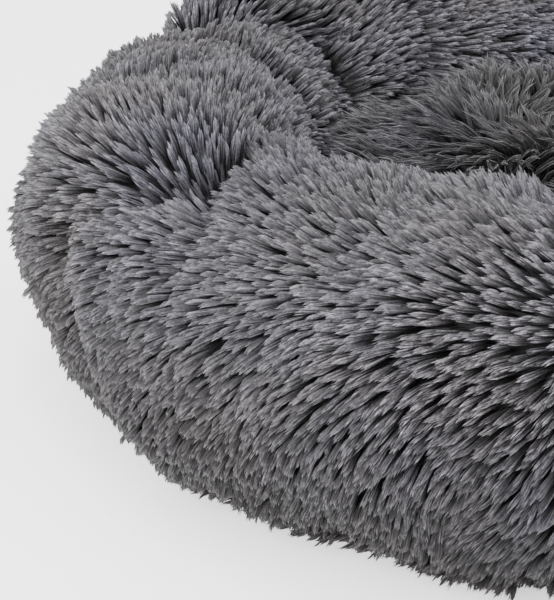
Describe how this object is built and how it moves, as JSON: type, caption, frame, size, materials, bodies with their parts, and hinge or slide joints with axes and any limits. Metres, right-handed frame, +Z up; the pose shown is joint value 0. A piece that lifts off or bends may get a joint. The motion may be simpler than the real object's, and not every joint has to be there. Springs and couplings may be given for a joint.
{
  "type": "pet cushion bed",
  "caption": "Round ring-bolster pet bed with long-pile fur cover panels, a loose centre cushion, a zipped base cloth and an anti-slip film.",
  "frame": {"origin": "centre of the underside, on the floor that the grip dots stand on", "axes": "+Z up through the centre of the ring; the base zip runs along X; the care tab is at the back, +Y"},
  "size_m": [0.7, 0.7, 0.2],
  "materials": {
    "fur": "matte",
    "lining": "matte",
    "wadding": "matte",
    "base_cloth": "matte",
    "grip": "matte",
    "zip_nylon": "satin",
    "zip_metal": "satin",
    "tab": "matte"
  },
  "bodies": {
    "bed": {"bolster_cover_1": "fur", "bolster_cover_2": "fur", "bolster_cover_3": "fur", "bolster_cover_4": "fur", "bolster_cover_5": "fur", "bolster_cover_6": "fur", "bolster_liner": "lining", "bolster_filling": "wadding", "well_floor": "fur", "base_pad": "wadding", "base_panel": "base_cloth", "grip_layer": "grip", "edge_binding": "base_cloth", "care_tab": "tab", "zip_tape_front": "base_cloth", "zip_tape_back": "base_cloth", "zip_coil_front": "zip_nylon", "zip_coil_back": "zip_nylon", "zip_stop_closed_end": "zip_metal", "zip_stop_open_end": "zip_metal"},
    "cushion": {"cushion_top_cover": "fur", "cushion_under_cover": "base_cloth", "cushion_filling": "wadding"},
    "slider": {"zip_slider": "zip_metal"},
    "puller": {"zip_puller": "zip_metal"}
  },
  "joints": [
    {"name": "cushion_lift", "type": "slide", "parent": "bed", "child": "cushion", "axis": [0, 0, 1], "range_m": [0, 0.2]},
    {"name": "zip_slide", "type": "slide", "parent": "bed", "child": "slider", "axis": [-1, 0, 0], "range_m": [0, 0.25]},
    {"name": "puller_turn", "type": "hinge", "parent": "slider", "child": "puller", "pos_m": [0.1255, 0, 0.0054], "axis": [0, -1, 0], "range_deg": [0, 150]}
  ]
}
